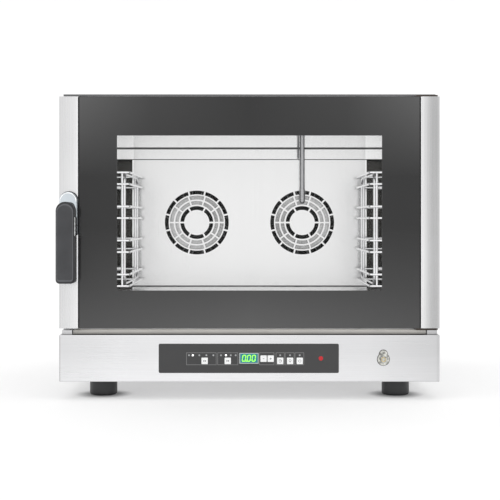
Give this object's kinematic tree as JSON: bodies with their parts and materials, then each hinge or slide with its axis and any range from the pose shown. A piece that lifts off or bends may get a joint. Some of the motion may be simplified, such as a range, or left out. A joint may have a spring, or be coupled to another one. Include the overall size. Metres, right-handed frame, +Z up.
{
  "type": "combi steamer oven",
  "caption": "Countertop combi steamer oven with a side-hung glass door, tray racks, rear convection fans, a steam tube and a lower control panel",
  "frame": {"origin": "on the floor under the middle of the oven's overall box", "axes": "+Z up, the door faces -Y, +X to the right of someone facing the door"},
  "size_m": [0.784, 0.754, 0.634],
  "materials": {
    "casing_steel": "satin brushed stainless sheet",
    "frame_steel": "satin stainless sheet",
    "cavity_steel": "semi-bright stainless liner",
    "baffle_steel": "bright annealed stainless sheet",
    "mineral_wool": "compressed mineral wool",
    "gasket_rubber": "matt silicone profile",
    "element_metal": "oxidised sheathed element",
    "motor_paint": "satin paint on cast housing",
    "wire_steel": "electropolished wire",
    "tube_steel": "drawn stainless tube",
    "sensor_metal": "sheathed sensor",
    "lamp_glass": "frosted heat-proof glass",
    "tray_plastic": "light beige moulding",
    "overlay_black": "semi-gloss printed film",
    "display_face": "tinted window over lit digits",
    "led_lens": "clear lens",
    "socket_chrome": "polished plate",
    "brass": "nickel-brass jack",
    "circuit_board": "green laminate",
    "module_plastic": "black moulding",
    "valve_plastic": "blue moulding",
    "drain_plastic": "grey heat-proof moulding",
    "hinge_metal": "dark brown finish",
    "foot_rubber": "black moulded",
    "fastener_steel": "turned steel",
    "fan_steel": "pressed stainless",
    "key_white": "white printed cap",
    "door_steel": "satin brushed stainless",
    "rail_steel": "black coated inner frame",
    "printed_glass": "toughened glass with a black printed border round a clear window",
    "clear_glass": "clear heat-reflecting glass",
    "handle_chrome": "polished casting",
    "grip_plastic": "fine-textured black moulding"
  },
  "bodies": {
    "oven": {"base_pan": "casing_steel", "side_panel_left": "casing_steel", "side_panel_right": "casing_steel", "top_cover": "casing_steel", "rear_panel": "casing_steel", "front_frame": "frame_steel", "cavity_liner": "cavity_steel", "insulation": "mineral_wool", "door_gasket": "gasket_rubber", "fan_baffle": "baffle_steel", "air_strip": "baffle_steel", "heating_element_left": "element_metal", "heating_element_right": "element_metal", "motor_left": "motor_paint", "motor_right": "motor_paint", "rack_left": "wire_steel", "rack_right": "wire_steel", "rack_studs": "wire_steel", "steam_tube": "tube_steel", "cavity_sensor": "sensor_metal", "cavity_lamp": "lamp_glass", "drip_tray": "tray_plastic", "control_panel": "casing_steel", "control_overlay": "overlay_black", "display_window": "display_face", "indicator_leds": "led_lens", "probe_plate": "socket_chrome", "probe_jack": "brass", "control_board": "circuit_board", "power_unit": "module_plastic", "water_valve": "valve_plastic", "drain_pipe": "drain_plastic", "vent_pipe": "tube_steel", "cable_gland": "module_plastic", "cooling_fan_frame": "module_plastic", "hinge_brackets": "hinge_metal", "latch_keeper": "frame_steel", "feet": "foot_rubber", "casing_screws": "fastener_steel"},
    "door": {"door_stile_left": "door_steel", "door_stile_right": "door_steel", "door_rails": "rail_steel", "outer_glass": "printed_glass", "inner_glass": "clear_glass", "glass_clips": "fastener_steel"},
    "handle": {"handle_hub": "handle_chrome", "handle_grip": "grip_plastic", "latch_spindle": "fastener_steel"},
    "fan_left": {"fan_wheel_left": "fan_steel", "fan_shaft_left": "fastener_steel"},
    "fan_right": {"fan_wheel_right": "fan_steel", "fan_shaft_right": "fastener_steel"},
    "cooling_rotor": {"cooling_fan_rotor": "module_plastic"},
    "button_mode": {"key_mode": "key_white"},
    "button_program": {"key_program": "key_white"},
    "button_minus": {"key_minus": "key_white"},
    "button_plus": {"key_plus": "key_white"},
    "button_time": {"key_time": "key_white"},
    "button_light": {"key_light": "key_white"},
    "button_start": {"key_start": "key_white"}
  },
  "joints": [
    {"name": "door_hinge", "type": "hinge", "parent": "oven", "child": "door", "pos_m": [0.384, -0.3, 0.3866], "axis": [0, 0, 1], "range_deg": [0, 110]},
    {"name": "handle_turn", "type": "hinge", "parent": "door", "child": "handle", "pos_m": [-0.3715, -0.327, 0.41], "axis": [0, 1, 0], "range_deg": [0, 90]},
    {"name": "fan_spin_left", "type": "hinge", "parent": "oven", "child": "fan_left", "pos_m": [-0.1275, 0.11, 0.3645], "axis": [0, 1, 0], "continuous": true},
    {"name": "fan_spin_right", "type": "hinge", "parent": "oven", "child": "fan_right", "pos_m": [0.1275, 0.11, 0.3645], "axis": [0, 1, 0], "continuous": true},
    {"name": "cooling_fan_spin", "type": "hinge", "parent": "oven", "child": "cooling_rotor", "pos_m": [0.27, 0.335, 0.11], "axis": [0, 1, 0], "continuous": true},
    {"name": "key_mode_press", "type": "slide", "parent": "oven", "child": "button_mode", "axis": [0, 1, 0], "range_m": [0, 0.001], "stiffness_N_per_m": 600},
    {"name": "key_program_press", "type": "slide", "parent": "oven", "child": "button_program", "axis": [0, 1, 0], "range_m": [0, 0.001], "stiffness_N_per_m": 600},
    {"name": "key_minus_press", "type": "slide", "parent": "oven", "child": "button_minus", "axis": [0, 1, 0], "range_m": [0, 0.001], "stiffness_N_per_m": 600},
    {"name": "key_plus_press", "type": "slide", "parent": "oven", "child": "button_plus", "axis": [0, 1, 0], "range_m": [0, 0.001], "stiffness_N_per_m": 600},
    {"name": "key_time_press", "type": "slide", "parent": "oven", "child": "button_time", "axis": [0, 1, 0], "range_m": [0, 0.001], "stiffness_N_per_m": 600},
    {"name": "key_light_press", "type": "slide", "parent": "oven", "child": "button_light", "axis": [0, 1, 0], "range_m": [0, 0.001], "stiffness_N_per_m": 600},
    {"name": "key_start_press", "type": "slide", "parent": "oven", "child": "button_start", "axis": [0, 1, 0], "range_m": [0, 0.001], "stiffness_N_per_m": 600}
  ]
}
